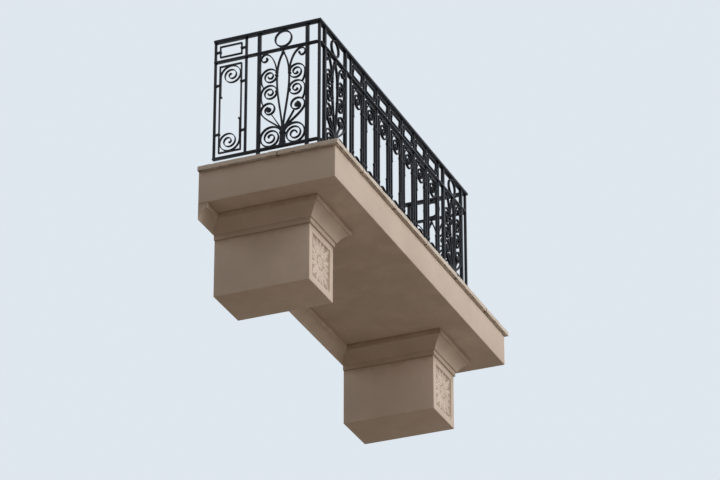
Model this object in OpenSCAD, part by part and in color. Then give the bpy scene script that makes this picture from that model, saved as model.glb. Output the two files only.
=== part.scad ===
// Wall balcony: a stone-paved slab on two corbels, with a wrought iron railing on three sides.
// X runs along the wall, Y runs into the wall, Z is up.
// The origin is on the wall face, at the middle of the slab's back.

/* [Slab and paving] */
// Width of the slab between its two side faces
slab_w = 2700; // [2300:10:3200]
// How far the slab stands out from the wall
slab_d = 857; // [760:1:1000]
// Thickness of the slab
slab_h = 204; // [120:2:300]
// Thickness of the paving stones
stone_t = 30; // [20:1:60]
// How far the paving stands out past the slab's faces
stone_lip = 22; // [5:1:60]
// Depth of the front row of stones, from its outer edge
front_row_d = 377; // [250:1:450]
// Width of the stone at each end of a row
corner_stone_w = 386; // [250:1:600]
// Number of stones between the two end stones of a row
stones = 4; // [3:1:10]
// Width of the joints between the stones
joint_w = 4; // [2:1:10]
// Depth of the joints between the stones
joint_d = 5; // [2:1:12]

/* [Corbels and cornice] */
// From the slab's side face in to the corbel
corbel_inset = 230; // [100:2:400]
// Width of a corbel
corbel_w = 340; // [240:2:420]
// How far a corbel stands out from the wall
corbel_d = 600; // [400:5:640]
// Height of a corbel below its crown
corbel_h = 360; // [240:5:500]
// Width of the raised border around the carved panel
border_w = 43; // [20:1:70]
// Depth of the sunk panel
sunk_d = 16; // [8:1:30]
// Thickness of the carved plate in the sunk panel
plate_t = 6; // [3:1:8]
// Height of the crown moulding
crown_h = 132; // [110:2:180]
// How far the crown stands out past the corbel's faces
crown_out = 82; // [70:1:110]
// Height of the step under the crown's hollow
step_h = 30; // [8:1:36]
// How far each step of the crown, and the ledge of the cornice, stands out past the face below
step_out = 9; // [4:1:12]
// Height of the flat band at the top of the crown
crown_band_h = 36; // [12:1:40]
// Radius of the crown's hollow
hollow_r = 125; // [80:5:200]
// Height of the cornice along the wall
cornice_h = 104; // [70:2:110]
// How far the cornice stands out from the wall
cornice_out = 60; // [40:1:75]
// Height of the flat band at the top of the cornice
cornice_band_h = 36; // [12:1:40]
// How far the foot of the cornice stands out from the wall
cornice_foot = 4; // [2:1:20]

/* [Railing levels] */
// Distance from the slab's faces in to the middle of the posts
rail_inset = 182; // [100:1:240]
// Height of the railing above the paving
rail_h = 945; // [850:5:1200]
// Height of the middle of the middle rail above the paving
mid_rail_z = 794; // [740:1:800]
// Height of the middle of the bottom rail above the paving
low_rail_z = 144; // [80:1:180]

/* [Bars] */
// Side of the square corner posts
post = 16; // [14:1:24]
// Side of the square bars
bar = 14; // [10:1:18]
// Side of the heavier square bars beside a lyre
lyre_bar = 20; // [14:1:24]
// Width of the handrail
handrail_w = 32; // [24:1:60]
// Thickness of the handrail
handrail_t = 20; // [8:1:24]
// Width of the middle and bottom rails
rail_w = 26; // [20:1:30]
// Thickness of the middle and bottom rails
rail_t = 12; // [6:1:14]
// From the middle of a corner post to the first bar
end_gap = 76; // [50:1:100]
// From middle to middle of the two bars beside a lyre panel
lyre_bay = 308; // [300:2:340]
// From middle to middle of the two bars of a pair
pair_gap = 84; // [50:1:110]
// Number of scroll bays along the front
bays = 7; // [5:2:9]

/* [Scrollwork] */
// Thickness of the bands in a bay
band = 6; // [3:0.5:6]
// Thickness of the lyre bands
lyre_band = 8; // [4:0.5:9]
// Width of all the bands, across the railing
band_w = 16; // [8:1:20]
// Clear space between a bar and the inner frame of a bay
frame_gap = 21; // [14:1:24]
// Clear space between a rail and the inner frame of a bay
frame_rise = 26; // [16:1:34]
// Clear space between the middle rail and the small frame above it
small_frame_rise = 22; // [14:1:34]
// Height of the small blocks that hold the inner frames
collar_h = 14; // [8:1:24]
// From the end of an inner frame to the middle of its blocks
collar_in = 125; // [80:5:160]
// Distance from turn to turn of a bay scroll
scroll_pitch = 27; // [20:0.5:30]
// Length of a bay scroll's straight stem
scroll_stem = 140; // [80:5:160]
// How far touching bands are forged into each other
weld = 0.5; // [0.3:0.1:1]
// Clear space between a lyre's scrolls and the bars and rails around it
lyre_gap = 0.3; // [0.2:0.1:1]
// Outer radius of the ring above a lyre
ring_r = 56; // [40:1:58]

/* [Hidden] */

iron = "#26272b";
stucco = "#b3a294";
stone = "#d6cbbd";
carving = "#cdbfb0";
$fn = 48;

// Levels, measured from the middle of the slab
soffit = -slab_h / 2;
slab_top = slab_h / 2;
floor_z = slab_top + stone_t;
top = floor_z + rail_h;
mid_z = floor_z + mid_rail_z;
low_z = floor_z + low_rail_z;
handrail_z = top - handrail_t;
crown_foot = soffit - crown_h;
corbel_foot = crown_foot - corbel_h;
corbel_x = slab_w / 2 - corbel_inset - corbel_w / 2;

// Plan of the railing
post_x = slab_w / 2 - rail_inset;
post_y = slab_d - rail_inset;
bay = (2 * post_x - 2 * (end_gap + lyre_bay + pair_gap)) / bays;
first_bay_x = -post_x + end_gap + lyre_bay + pair_gap;
lyre_x = post_x - end_gap - lyre_bay / 2;
lyre_y = post_y - end_gap - lyre_bay / 2;
wall_bay_y = post_y - end_gap - lyre_bay - pair_gap;
wall_bay = wall_bay_y - bar / 2;

// The two spaces between the rails, from face to face
low_space = [low_z + rail_t / 2, mid_z - rail_t / 2];
high_space = [mid_z + rail_t / 2, handrail_z];

// The inner frame of a bay, out to its band's middle
function frame_half(width) = width / 2 - bar / 2 - frame_gap - band / 2;
frame_low = low_space[0] + frame_rise + band / 2;
frame_high = low_space[1] - frame_rise - band / 2;

// A flat band of the given thickness along a line of points
function unit(v) = v / norm(v);
function left_of(v) = [-v[1], v[0]];
function along(p, i) = unit(p[min(i + 1, len(p) - 1)] - p[max(i - 1, 0)]);
function side_line(p, d) = [for (i = [0 : len(p) - 1]) p[i] + d * left_of(along(p, i))];
function backwards(p) = [for (i = [len(p) - 1 : -1 : 0]) p[i]];
module ribbon(p, t = band) {
    polygon(concat(side_line(p, -t / 2), backwards(side_line(p, t / 2))));
}

// A smooth curve from a to d that leaves towards b and arrives from c; first 1 leaves out a itself
function curve(a, b, c, d, steps = 10, first = 0) = [
    for (i = [first : steps])
        let (s = i / steps, r = 1 - s)
            r * r * r * a + 3 * r * r * s * b + 3 * r * s * s * c + s * s * s * d
];
// A spiral about a point; it leaves out its first point, where it joins what leads to it
function spiral(mid, r_start, r_end, from, turn, step = 18) =
    let (steps = ceil(abs(turn) / step))
        [for (i = [1 : steps])
            let (s = i / steps, a = from + turn * s, r = r_start + (r_end - r_start) * s)
                mid + r * [cos(a), sin(a)]];

// Stands a drawing up in the plane of the front railing, or of a side railing
module stand_front(x, depth) {
    translate([x, -post_y, 0]) rotate([90, 0, 0]) linear_extrude(height = depth, center = true) children();
}
module stand_side(side, y, depth) {
    translate([side * post_x, y, 0]) rotate([90, 0, 90])
        linear_extrude(height = depth, center = true) children();
}

module slab() color(stucco) translate([-slab_w / 2, -slab_d, soffit]) cube([slab_w, slab_d, slab_h]);

// One row of stones with its joints, from the depth y0 to the depth y1
module stone_row(y0, y1, is_front) {
    row_w = slab_w + 2 * stone_lip;
    pitch = (row_w - 2 * corner_stone_w) / stones;
    color(stone) difference() {
        translate([-row_w / 2, -y1, slab_top]) cube([row_w, y1 - y0, stone_t]);
        for (i = [0 : stones])
            translate([-row_w / 2 + corner_stone_w + i * pitch - joint_w / 2, -y1, 0]) {
            translate([0, -1, floor_z - joint_d]) cube([joint_w, y1 - y0 + 2, joint_d + 1]);
            if (is_front) translate([0, -1, slab_top - 1]) cube([joint_w, joint_d + 1, stone_t + 2]);
        }
    }
}
module front_paving() stone_row(slab_d + stone_lip - front_row_d, slab_d + stone_lip, true);
module rear_paving() stone_row(0, slab_d + stone_lip - front_row_d, false);

// Half of the crown's outline: the step, the hollow and the band over a face at reach
module crown_outline(reach) {
    foot = [reach + 2 * step_out, step_h];
    head = [reach + crown_out - step_out, crown_h - crown_band_h];
    chord = head - foot;
    rise = sqrt(pow(hollow_r, 2) - pow(norm(chord) / 2, 2));
    square([reach + step_out, step_h]);
    difference() {
        polygon([[0, foot[1]], foot, head, [0, head[1]]]);
        translate((foot + head) / 2 + rise / norm(chord) * [chord[1], -chord[0]]) circle(r = hollow_r);
    }
    translate([0, head[1]]) square([reach + crown_out, crown_band_h]);
}
module crown(side) {
    translate([side * corbel_x, 0, crown_foot]) intersection() {
        rotate([90, 0, -90]) linear_extrude(height = 2 * (corbel_w + crown_out), center = true)
            crown_outline(corbel_d);
        rotate([90, 0, 0]) linear_extrude(height = corbel_d + 2 * crown_out)
            union() {
                crown_outline(corbel_w / 2);
                mirror([1, 0]) crown_outline(corbel_w / 2);
            }
    }
}
module left_crown() color(stucco) crown(-1);
module right_crown() color(stucco) crown(1);

module corbel(side) {
    color(stucco) difference() {
        translate([side * corbel_x - corbel_w / 2, -corbel_d, corbel_foot])
            cube([corbel_w, corbel_d, corbel_h]);
        translate([side * corbel_x - corbel_w / 2 + border_w, -corbel_d - 1, corbel_foot + border_w])
            cube([corbel_w - 2 * border_w, sunk_d + 1, corbel_h - 2 * border_w]);
    }
}
module left_corbel() corbel(-1);
module right_corbel() corbel(1);

// A leaf: the overlap of two circles, with its stalk at the origin and its tip at length
module leaf(length, fat) {
    r = (length * length / 4 + fat * fat / 4) / fat;
    intersection() {
        translate([length / 2, r - fat / 2]) circle(r = r);
        translate([length / 2, fat / 2 - r]) circle(r = r);
    }
}
// The carved plate: a flower in the middle and a leaf towards each corner
module carved_panel(side) {
    w = corbel_w - 2 * border_w;
    h = corbel_h - 2 * border_w;
    flower_r = w / 7;
    relief_t = sunk_d - plate_t;
    color(carving) translate([side * corbel_x, -corbel_d + sunk_d, corbel_foot + corbel_h / 2])
        rotate([90, 0, 0]) {
            translate([-w / 2, -h / 2, 0]) cube([w, h, plate_t]);
            linear_extrude(height = sunk_d) circle(r = flower_r);
            for (a = [0 : 60 : 300]) rotate([0, 0, a])
                linear_extrude(height = plate_t + 0.7 * relief_t) leaf(w / 3, w / 8);
            for (sx = [-1, 1], sz = [-1, 1]) rotate([0, 0, atan2(sz * h, sx * w)])
                translate([flower_r, 0, 0])
                    linear_extrude(height = plate_t + 0.4 * relief_t) leaf(w / 2.4, w / 6);
        }
}
module left_carved_panel() carved_panel(-1);
module right_carved_panel() carved_panel(1);

// The moulding along the wall, from x0 to x1, cut back to the crowns: a hollow that rises upright
// from its foot, and a flat band that overhangs it by a ledge
module cornice(x0, x1) {
    head = [cornice_out - step_out, cornice_h - cornice_band_h];
    reach = head[0] - cornice_foot;
    sweep_r = (pow(reach, 2) + pow(head[1], 2)) / (2 * reach);
    color(stucco) difference() {
        translate([x0, 0, soffit - cornice_h]) rotate([90, 0, 90]) linear_extrude(height = x1 - x0)
            mirror([1, 0]) {
                difference() {
                    polygon([[0, 0], [cornice_foot, 0], head, [0, head[1]]]);
                    translate([cornice_foot + sweep_r, 0]) circle(r = sweep_r);
                }
                translate([0, head[1]]) square([cornice_out, cornice_band_h]);
            }
        crown(-1);
        crown(1);
    }
}
module left_cornice() cornice(-slab_w / 2, -corbel_x);
module middle_cornice() cornice(-corbel_x, corbel_x);
module right_cornice() cornice(corbel_x, slab_w / 2);

module corner_post(side) {
    color(iron) translate([side * post_x - post / 2, -post_y - post / 2, floor_z])
        cube([post, post, handrail_z - floor_z]);
}
module left_corner_post() corner_post(-1);
module right_corner_post() corner_post(1);

// The handrail is mitred where its front meets its sides
module front_handrail() {
    half = handrail_w / 2;
    color(iron) translate([0, 0, handrail_z]) linear_extrude(height = handrail_t)
        polygon([[-post_x - half, -post_y - half], [post_x + half, -post_y - half],
                 [post_x - half, -post_y + half], [-post_x + half, -post_y + half]]);
}
module side_handrail(side) {
    half = handrail_w / 2;
    color(iron) translate([0, 0, handrail_z]) linear_extrude(height = handrail_t)
        polygon([[side * (post_x + half), -post_y - half], [side * (post_x + half), 0],
                 [side * (post_x - half), 0], [side * (post_x - half), -post_y + half]]);
}
module left_handrail() side_handrail(-1);
module right_handrail() side_handrail(1);

// Places of the bars along the front and along a side
front_bar_x = concat(
    [-post_x + end_gap, -post_x + end_gap + lyre_bay],
    [for (i = [0 : bays]) first_bay_x + i * bay],
    [post_x - end_gap - lyre_bay, post_x - end_gap]);
side_bar_y = concat([for (d = [end_gap, end_gap + lyre_bay, end_gap + lyre_bay + pair_gap]) d - post_y],
                    [-bar / 2]);
// A bar beside a lyre is the heavier one
last_front = len(front_bar_x) - 1;
front_bar_side = [for (i = [0 : last_front]) i < 2 || i > last_front - 2 ? lyre_bar : bar];
side_bar_side = [lyre_bar, lyre_bar, bar, bar];

// The flat rails are pierced for the bars, which run through them
module front_rail(z) {
    color(iron) difference() {
        translate([-post_x + post / 2, -post_y - rail_w / 2, z - rail_t / 2])
            cube([2 * post_x - post, rail_w, rail_t]);
        for (i = [0 : last_front]) translate([front_bar_x[i], -post_y, z])
            cube([front_bar_side[i], front_bar_side[i], 2 * rail_t], center = true);
    }
}
module side_rail(side, z) {
    color(iron) difference() {
        translate([side * post_x - rail_w / 2, -post_y + post / 2, z - rail_t / 2])
            cube([rail_w, post_y - post / 2, rail_t]);
        for (i = [0 : 3]) translate([side * post_x, side_bar_y[i], z])
            cube([side_bar_side[i], side_bar_side[i], 2 * rail_t], center = true);
    }
}
module front_middle_rail() front_rail(mid_z);
module left_middle_rail() side_rail(-1, mid_z);
module right_middle_rail() side_rail(1, mid_z);
module front_bottom_rail() front_rail(low_z);
module left_bottom_rail() side_rail(-1, low_z);
module right_bottom_rail() side_rail(1, low_z);

// A bar runs from its foot on the paving, or from the bottom rail, up to the handrail
module upright(x, y, w, foot) {
    color(iron) translate([x - w / 2, y - w / 2, foot]) cube([w, w, handrail_z - foot]);
}
function is_footed(i) = i == 0 || i >= last_front - 1 || i % 3 == 1;
module front_bars() {
    for (i = [0 : last_front])
        upright(front_bar_x[i], -post_y, front_bar_side[i], is_footed(i) ? floor_z : low_z - rail_t / 2);
}
module side_bars(side) {
    for (i = [0 : 3])
        upright(side * post_x, side_bar_y[i], side_bar_side[i], i < 2 ? floor_z : low_z - rail_t / 2);
}
module left_bars() side_bars(-1);
module right_bars() side_bars(1);

// Levels of the lyre, up from the top of the bottom rail
lyre_h = low_space[1] - low_space[0];
lyre_half = lyre_bay / 2 - lyre_bar / 2;
lens_foot = 135;
lens_wide = 445;
lens_half = lyre_half * 0.27;
scroll_out = lyre_half - lyre_band / 2 - lyre_gap;
// Middles and first radii of the spirals on each side of the lens, from the top down
curl_1 = [lyre_half * 0.58, lyre_h - 166];
curl_2 = [lyre_half * 0.58, lyre_h - 277];
curl_3 = [lyre_half * 0.62, lyre_h - 389];
curl_r = scroll_out - curl_1[0];
curl_eye = 8;
bud_curl_r = scroll_out - curl_3[0];
bud_r = 16;
// The hook in the top corner and the large spiral at the foot
hook_r = 31;
hook_side = 24.5;
hook = [scroll_out - hook_side, lyre_h - lyre_gap - lyre_band / 2 - 6 - hook_r];
foot_curl_r = 70;
foot_curl_side = 63.5;
foot_curl_low = 57;
foot_curl = [scroll_out - foot_curl_side, foot_curl_low + lyre_band / 2 + lyre_gap];

// A line of points taken to one side of the lyre's middle, -1 for the left
function on_side(side, p) = [for (q = p) [side * q[0], q[1]]];
// A spiral beside the lens, with its tail on the spiral below
function curl(mid, below, below_r) =
    let (tail = below + below_r * [cos(45), sin(45)])
        concat(curve(tail, tail + [12, 18], mid + [curl_r, -36], mid + [curl_r, 0]),
               spiral(mid, curl_r, curl_eye, 0, 720));
module half_lyre(side) {
    apex = [lyre_band / 2, lyre_h - 24];
    waist = [lens_half, lens_wide];
    foot = [4, lens_foot];
    knot = [8, lens_foot - 28];
    // The pointed lens, from the stem up to its tip
    ribbon(on_side(side, concat(
        curve([4, 30], [4, 70], [4, 100], foot, 3),
        curve(foot, [14, lens_foot + 100], [lens_half, lens_wide - 110], waist, 10, 1),
        curve(waist, [lens_half, lens_wide + 60], [lens_half - 8, apex[1] - 45], apex, 10, 1))), lyre_band);
    // The arch beside the lens, with the hook in the top corner
    ribbon(on_side(side, concat(
        curve([lens_half + 1, lens_wide + 40], [lens_half + 4, lens_wide + 110],
              [hook[0] - 40, hook[1] + hook_r], hook + [0, hook_r]),
        spiral(hook, hook_r, 9, 90, -306))), lyre_band);
    ribbon(on_side(side, curl(curl_1, curl_2, curl_r * 0.95)), lyre_band);
    ribbon(on_side(side, curl(curl_2, curl_3, bud_curl_r * 0.97)), lyre_band);
    // The third spiral, on a long stem from the foot, with its bud and its second stem
    ribbon(on_side(side, concat(
        curve(knot, [50, lens_foot + 20], [scroll_out, curl_3[1] - 50], curl_3 + [bud_curl_r, 0]),
        spiral(curl_3, bud_curl_r, bud_r, 0, 450))), lyre_band);
    translate([side * curl_3[0], curl_3[1]]) circle(r = bud_r + weld);
    ribbon(on_side(side, curve(curl_3 + [-18, -34], curl_3 + [-34, -60], [38, lens_foot + 24],
                               knot + [0, 4])), lyre_band);
    // The large spiral at the foot
    ribbon(on_side(side, concat(
        curve([8, lens_foot - 50], [18, lens_foot - 20], foot_curl + [-34, foot_curl_r],
              foot_curl + [0, foot_curl_r]),
        spiral(foot_curl, foot_curl_r, 12, 90, -810))), lyre_band);
}
// The lyre with its stem, its tip below the middle rail and the ring above that rail
module lyre() {
    ring_z = (high_space[0] + high_space[1]) / 2;
    translate([0, low_space[0]]) {
        half_lyre(1);
        half_lyre(-1);
        polygon([[-24, 0], [24, 0], [15, 20], [14, 92], [6, 125], [-6, 125], [-14, 92], [-15, 20]]);
        translate([-4, lyre_h - 27]) square([8, 27]);
    }
    translate([0, ring_z]) difference() {
        union() {
            circle(r = ring_r);
            translate([-6, high_space[0] - ring_z]) square([12, high_space[1] - high_space[0]]);
        }
        circle(r = ring_r - lyre_band);
    }
}
module front_left_lyre() color(iron) stand_front(-lyre_x, band_w) lyre();
module front_right_lyre() color(iron) stand_front(lyre_x, band_w) lyre();
module left_lyre() color(iron) stand_side(-1, -lyre_y, band_w) lyre();
module right_lyre() color(iron) stand_side(1, -lyre_y, band_w) lyre();

// A rectangular band, to its band's middle: half its width, then its levels
module frame_band(half_w, low, high) {
    difference() {
        translate([-half_w - band / 2, low - band / 2]) square([2 * half_w + band, high - low + band]);
        translate([-half_w + band / 2, low + band / 2]) square([2 * half_w - band, high - low - band]);
    }
}
// A scroll that leaves the frame's left side, crosses under its top and curls in
module bay_scroll(half_w) {
    step_in = band - weld;
    start_r = half_w - step_in + scroll_pitch / 4;
    side_x = -half_w + step_in;
    mid = [side_x + start_r, frame_high - step_in - start_r + scroll_pitch / 4];
    bud = mid[1] - scroll_stem;
    ribbon(concat([[side_x, bud], [side_x, mid[1] - scroll_stem / 2], [side_x, mid[1]]],
                  spiral(mid, start_r, start_r - 2.25 * scroll_pitch, 180, -810)));
    translate([side_x + band / 2, bud]) circle(r = 1.2 * band);
}
// A bay's two frames, its two scrolls and the blocks that hold it to the bars
module bay_panel(width) {
    half_w = frame_half(width);
    block = frame_gap + band / 2;
    upper_low = high_space[0] + small_frame_rise + band / 2;
    upper_high = high_space[1] - frame_rise - band / 2;
    frame_band(half_w, frame_low, frame_high);
    frame_band(half_w, upper_low, upper_high);
    bay_scroll(half_w);
    translate([0, frame_low + frame_high]) rotate(180) bay_scroll(half_w);
    for (s = [-1, 1], z = [frame_low + collar_in, frame_high - collar_in, (upper_low + upper_high) / 2])
        translate([s * (width / 2 - bar / 2 - block / 2), z]) square([block, collar_h], center = true);
}
module front_bay(i) color(iron) stand_front(first_bay_x + (i - 0.5) * bay, band_w) bay_panel(bay);

// The bay between a side's last pair of bars and the bar on the wall
module wall_bay_of(side) {
    color(iron) stand_side(side, -(wall_bay_y + bar / 2) / 2, band_w)
        mirror([side < 0 ? 1 : 0, 0]) bay_panel(wall_bay);
}
module left_wall_bay() wall_bay_of(-1);
module right_wall_bay() wall_bay_of(1);

slab();
front_paving();
rear_paving();
left_corbel();
right_corbel();
left_crown();
right_crown();
left_carved_panel();
right_carved_panel();
left_cornice();
middle_cornice();
right_cornice();
left_corner_post();
right_corner_post();
front_handrail();
left_handrail();
right_handrail();
front_middle_rail();
left_middle_rail();
right_middle_rail();
front_bottom_rail();
left_bottom_rail();
right_bottom_rail();
front_bars();
left_bars();
right_bars();
front_left_lyre();
front_right_lyre();
left_lyre();
right_lyre();
left_wall_bay();
right_wall_bay();
for (i = [1 : bays]) front_bay(i);
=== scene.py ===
import math
import random

import bmesh
import bpy
from mathutils import Matrix, Vector, noise


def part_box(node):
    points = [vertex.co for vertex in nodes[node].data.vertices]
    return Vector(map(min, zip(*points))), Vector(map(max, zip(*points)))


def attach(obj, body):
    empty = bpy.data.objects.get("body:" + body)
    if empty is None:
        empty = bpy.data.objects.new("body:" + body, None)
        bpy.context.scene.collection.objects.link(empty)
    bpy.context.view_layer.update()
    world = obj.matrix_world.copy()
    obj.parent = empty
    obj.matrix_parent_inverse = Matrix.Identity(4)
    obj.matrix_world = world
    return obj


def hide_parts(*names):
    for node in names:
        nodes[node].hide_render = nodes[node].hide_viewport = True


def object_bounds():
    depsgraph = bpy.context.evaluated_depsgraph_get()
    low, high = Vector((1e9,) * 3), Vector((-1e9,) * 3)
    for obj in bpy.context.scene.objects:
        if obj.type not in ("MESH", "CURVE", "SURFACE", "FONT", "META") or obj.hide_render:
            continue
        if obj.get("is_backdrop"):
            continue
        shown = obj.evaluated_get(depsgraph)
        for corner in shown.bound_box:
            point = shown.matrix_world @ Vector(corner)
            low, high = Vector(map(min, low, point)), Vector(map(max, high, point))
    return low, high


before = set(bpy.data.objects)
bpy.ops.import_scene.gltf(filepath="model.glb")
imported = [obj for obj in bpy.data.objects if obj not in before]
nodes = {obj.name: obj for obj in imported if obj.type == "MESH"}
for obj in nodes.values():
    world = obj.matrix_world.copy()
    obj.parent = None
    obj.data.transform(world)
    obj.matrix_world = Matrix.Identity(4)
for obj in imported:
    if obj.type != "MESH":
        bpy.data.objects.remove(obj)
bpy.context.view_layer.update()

scene = bpy.context.scene
MM = 0.001


# Shader nodes

# The Mix node's colour sockets go by number, because its other sockets share their names
COLOUR_A = 6
COLOUR_B = 7
COLOUR_OUT = 2


def put(tree, kind, values=None, **settings):
    """Adds a shader node with its settings, and gives its inputs their values."""
    node = tree.nodes.new(kind)
    for key, value in settings.items():
        setattr(node, key, value)
    for key, value in (values or {}).items():
        node.inputs[key].default_value = value
    return node


def feed(tree, value, socket):
    """Sets a socket to a number or a colour, or joins another node's output to it."""
    if isinstance(value, bpy.types.NodeSocket):
        tree.links.new(value, socket)
    elif isinstance(value, tuple):
        socket.default_value = (*value, 1)
    else:
        socket.default_value = value


def object_place(tree):
    """The point on the piece, which every pattern is laid over."""
    return put(tree, "ShaderNodeTexCoord").outputs["Object"]


def speckle(tree, where, scale, detail=4.0, rough=0.6):
    """Noise over the piece, from 0 to 1."""
    node = put(tree, "ShaderNodeTexNoise", {"Detail": detail, "Roughness": rough})
    tree.links.new(where, node.inputs["Vector"])
    feed(tree, scale, node.inputs["Scale"])
    return node.outputs["Fac"]


def ramp(tree, value, low, high, to_low=0.0, to_high=1.0):
    """Turns the span from low to high into the span from to_low to to_high, with soft ends."""
    node = put(tree, "ShaderNodeMapRange",
               {"From Min": low, "From Max": high, "To Min": to_low, "To Max": to_high},
               interpolation_type="SMOOTHSTEP")
    tree.links.new(value, node.inputs["Value"])
    return node.outputs["Result"]


def reckon(tree, operation, a, b):
    """One step of arithmetic on two values, each a number or another node's output."""
    node = put(tree, "ShaderNodeMath", operation=operation)
    feed(tree, a, node.inputs[0])
    feed(tree, b, node.inputs[1])
    return node.outputs["Value"]


def times(tree, a, b):
    return reckon(tree, "MULTIPLY", a, b)


def blend_colour(tree, mask, a, b, mode="MIX"):
    """Goes from colour a to colour b where the mask is bright. MULTIPLY darkens a by b instead."""
    node = put(tree, "ShaderNodeMix", data_type="RGBA", blend_type=mode)
    tree.links.new(mask, node.inputs["Factor"])
    feed(tree, a, node.inputs[COLOUR_A])
    feed(tree, b, node.inputs[COLOUR_B])
    return node.outputs[COLOUR_OUT]


# Effects that several materials share

def new_group(name, inputs, outputs):
    """A node group with its two end nodes. Each of its sockets carries one number."""
    tree = bpy.data.node_groups.new(name, "ShaderNodeTree")
    for label, value in inputs:
        socket = tree.interface.new_socket(name=label, in_out="INPUT", socket_type="NodeSocketFloat")
        socket.default_value = value
    for label in outputs:
        tree.interface.new_socket(name=label, in_out="OUTPUT", socket_type="NodeSocketFloat")
    return tree, tree.nodes.new("NodeGroupInput"), tree.nodes.new("NodeGroupOutput")


def use_group(tree, group, **values):
    """Places a node group in a material, with values of its own."""
    node = put(tree, "ShaderNodeGroup", node_tree=group)
    for key, value in values.items():
        node.inputs[key.replace("_", " ")].default_value = value
    return node


def make_grain_group():
    """Trowelled or honed surface: broad mottling, fine grain and pits."""
    tree, ins, outs = new_group("surface_grain",
                                [("Mottle Scale", 3.0), ("Grain Scale", 220.0), ("Pit Scale", 90.0)],
                                ["Mottle", "Grain", "Pits"])
    where = object_place(tree)
    for target, detail in (("Mottle", 5.0), ("Grain", 3.0)):
        tree.links.new(speckle(tree, where, ins.outputs[target + " Scale"], detail), outs.inputs[target])
    cells = put(tree, "ShaderNodeTexVoronoi", {"Randomness": 1.0})
    tree.links.new(where, cells.inputs["Vector"])
    tree.links.new(ins.outputs["Pit Scale"], cells.inputs["Scale"])
    tree.links.new(ramp(tree, cells.outputs["Distance"], 0.05, 0.22, 1.0, 0.0), outs.inputs["Pits"])
    return tree


def make_facing_group():
    """How far a face looks up or down, broken up by noise, for dust on top and for damp and painted shade
    underneath.
    """
    tree, ins, outs = new_group("facing", [("Break Up", 14.0)], ["Up", "Down"])
    patch = ramp(tree, speckle(tree, object_place(tree), ins.outputs["Break Up"], 4.0, 0.65),
                 0.35, 0.65, 0.35, 1.0)
    parts = put(tree, "ShaderNodeSeparateXYZ")
    tree.links.new(put(tree, "ShaderNodeNewGeometry").outputs["True Normal"], parts.inputs["Vector"])
    up = ramp(tree, parts.outputs["Z"], 0.35, 0.95)
    down = ramp(tree, parts.outputs["Z"], -0.95, -0.35, 1.0, 0.0)
    tree.links.new(times(tree, up, patch), outs.inputs["Up"])
    tree.links.new(times(tree, down, patch), outs.inputs["Down"])
    return tree


def make_drip_group():
    """Rain stains that hang down from a ledge at the height Top, and a dark line of painted shadow right
    under the ledge.
    """
    tree, ins, outs = new_group("rain_stain", [("Top", 0.1), ("Reach", 0.1), ("Streaks", 9.0)],
                                ["Stain", "Edge"])
    where = object_place(tree)
    parts = put(tree, "ShaderNodeSeparateXYZ")
    tree.links.new(where, parts.inputs["Vector"])
    drop = reckon(tree, "SUBTRACT", ins.outputs["Top"], parts.outputs["Z"])
    share = reckon(tree, "DIVIDE", drop, ins.outputs["Reach"])
    drawn_down = put(tree, "ShaderNodeMapping", {"Scale": (1.0, 1.0, 0.12)})
    tree.links.new(where, drawn_down.inputs["Vector"])
    streak = speckle(tree, drawn_down.outputs["Vector"], ins.outputs["Streaks"], 5.0, 0.65)
    length = ramp(tree, streak, 0.35, 0.72, 0.25, 1.5)
    below_top = ramp(tree, share, -0.02, 0.0)
    fade = ramp(tree, reckon(tree, "DIVIDE", share, length), 0.0, 1.0, 1.0, 0.0)
    tree.links.new(times(tree, fade, below_top), outs.inputs["Stain"])
    tree.links.new(times(tree, ramp(tree, share, 0.0, 0.22, 1.0, 0.0), below_top), outs.inputs["Edge"])
    return tree


grain_group = make_grain_group()
facing_group = make_facing_group()
drip_group = make_drip_group()


# Materials

def start_material(name, specular, roughness=0.5):
    """A new material, its nodes and its surface shader."""
    m = bpy.data.materials.new(name)
    m.use_nodes = True
    tree = m.node_tree
    skin = tree.nodes["Principled BSDF"]
    skin.inputs["Roughness"].default_value = roughness
    skin.inputs["Specular IOR Level"].default_value = specular
    return m, tree, skin


def bump(tree, skin, height, strength, distance):
    """Roughens a surface by a height. distance is its depth in metres."""
    node = put(tree, "ShaderNodeBump", {"Strength": strength, "Distance": distance})
    tree.links.new(height, node.inputs["Height"])
    tree.links.new(node.outputs["Normal"], skin.inputs["Normal"])


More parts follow.
